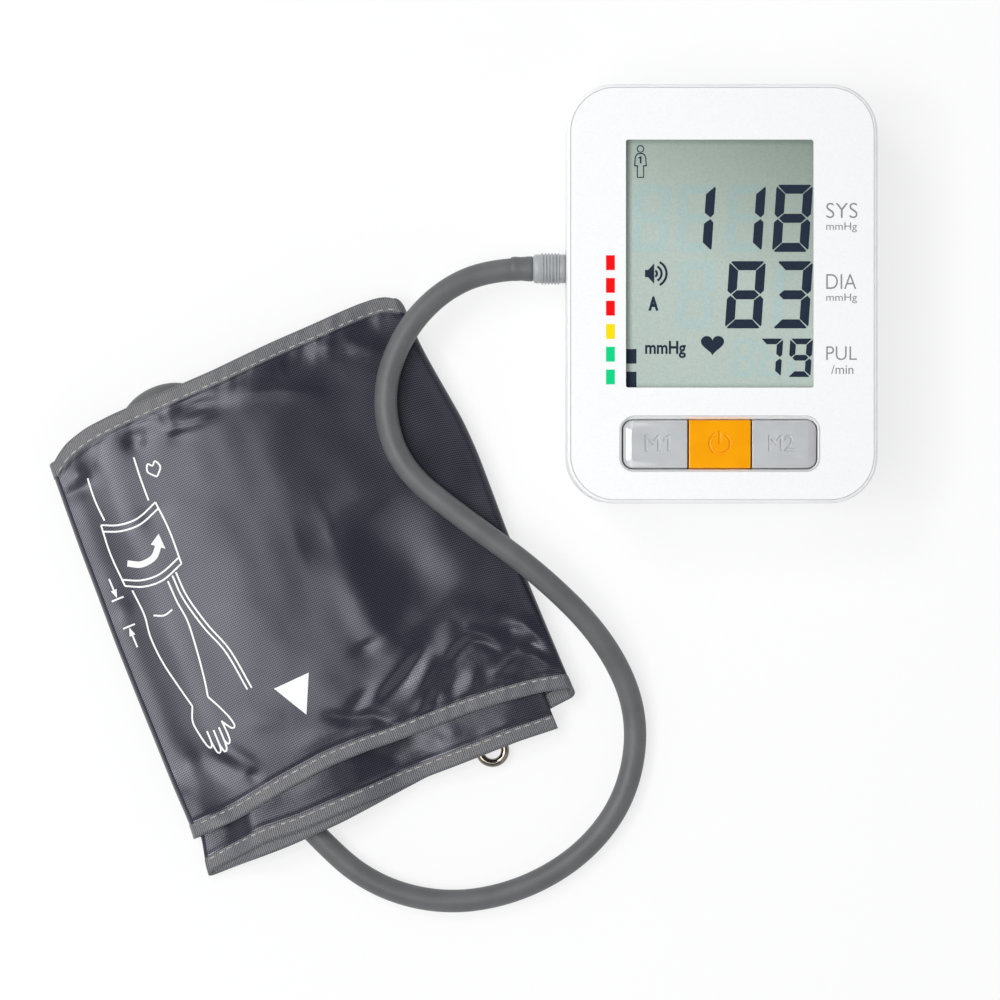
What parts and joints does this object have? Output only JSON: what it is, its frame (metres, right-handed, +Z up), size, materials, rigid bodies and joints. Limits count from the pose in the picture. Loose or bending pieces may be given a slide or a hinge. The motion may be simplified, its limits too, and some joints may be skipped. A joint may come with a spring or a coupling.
{
  "type": "upper-arm blood pressure monitor",
  "caption": "Table console with display and button row, air hose with push-in plug, and a folded wrap-round arm cuff with a metal ring.",
  "frame": {"origin": "on the table, in the middle of the box round the console and the folded cuff, without the hose", "axes": "+Z up from the table; +X from the cuff towards the console; +Y away from the user, from the buttons towards the display"},
  "size_m": [0.2907, 0.2888, 0.0449],
  "materials": {
    "white_shell": "moulded white ABS, fine satin",
    "white_panel": "white face plate, satin, printed",
    "clear_lens": "clear acrylic window",
    "lcd": "grey-green reflective display glass",
    "grey_key": "silver-grey moulded key",
    "orange_key": "orange moulded key",
    "plug_grey": "light grey moulded plug",
    "hose_rubber": "matte grey extruded hose",
    "black_rubber": "black rubber",
    "silicone": "milky silicone",
    "inner_plastic": "moulded inner plastic",
    "black_plastic": "black moulded plastic",
    "board_green": "green solder mask",
    "steel": "plated steel",
    "cell_can": "wrapped battery can",
    "nylon": "charcoal woven nylon",
    "binding": "ribbed woven tape",
    "lining": "brushed knit lining",
    "hook": "hook tape",
    "bag": "welded air bag film",
    "chrome": "chromed steel wire"
  },
  "bodies": {
    "console": {"base_cover": "white_shell", "top_cover": "white_shell", "front_panel": "white_panel", "rubber_feet": "black_rubber", "case_screws": "steel", "board_screws": "steel", "display_lens": "clear_lens", "display_glass": "lcd", "display_frame": "inner_plastic", "contact_strips": "black_rubber", "keypad_mat": "silicone", "main_board": "board_green", "board_chips": "black_plastic", "speaker": "black_plastic", "pressure_sensor": "black_plastic", "pump_motor": "steel", "pump_head": "black_plastic", "pump_cradle": "black_rubber", "exhaust_valve": "black_plastic", "valve_pad": "black_rubber", "air_manifold": "inner_plastic", "tube_socket": "silicone", "tube_valve": "silicone", "tube_pump": "silicone", "tube_sensor": "silicone", "air_socket": "white_shell", "power_inlet": "black_plastic", "battery_cells": "cell_can", "contact_plates": "steel", "battery_springs": "steel", "pump_leads": "black_rubber", "battery_leads": "black_rubber"},
    "m1_key": {"button_m1": "grey_key"},
    "power_key": {"button_power": "orange_key"},
    "m2_key": {"button_m2": "grey_key"},
    "door": {"battery_door": "white_shell"},
    "air_line": {"cuff_fabric": "nylon", "cuff_lining": "lining", "bladder": "bag", "hook_patch": "hook", "loop_patch": "lining", "cuff_binding": "binding", "cuff_port": "inner_plastic", "ring_loop": "nylon", "air_hose": "hose_rubber", "air_plug": "plug_grey", "plug_seal": "black_rubber"},
    "ring": {"d_ring": "chrome"}
  },
  "joints": [
    {"name": "m1_press", "type": "slide", "parent": "console", "child": "m1_key", "axis": [0, 0, -1], "range_m": [0, 0.0008], "stiffness_N_per_m": 1500, "springref_m": -0.0008},
    {"name": "power_press", "type": "slide", "parent": "console", "child": "power_key", "axis": [0, 0, -1], "range_m": [0, 0.0008], "stiffness_N_per_m": 1500, "springref_m": -0.0008},
    {"name": "m2_press", "type": "slide", "parent": "console", "child": "m2_key", "axis": [0, 0, -1], "range_m": [0, 0.0008], "stiffness_N_per_m": 1500, "springref_m": -0.0008},
    {"name": "door_swing", "type": "hinge", "parent": "console", "child": "door", "pos_m": [0.0913, 0.065, 0.0029], "axis": [1, 0, 0], "range_deg": [0, 75]},
    {"name": "plug_pull", "type": "slide", "parent": "console", "child": "air_line", "axis": [-1, 0, 0], "range_m": [0, 0.014]},
    {"name": "ring_tilt", "type": "hinge", "parent": "air_line", "child": "ring", "pos_m": [-0.01875, -0.03214, 0.0029], "axis": [-0.3843, 0.9232, 0], "range_deg": [-5, 5]}
  ]
}
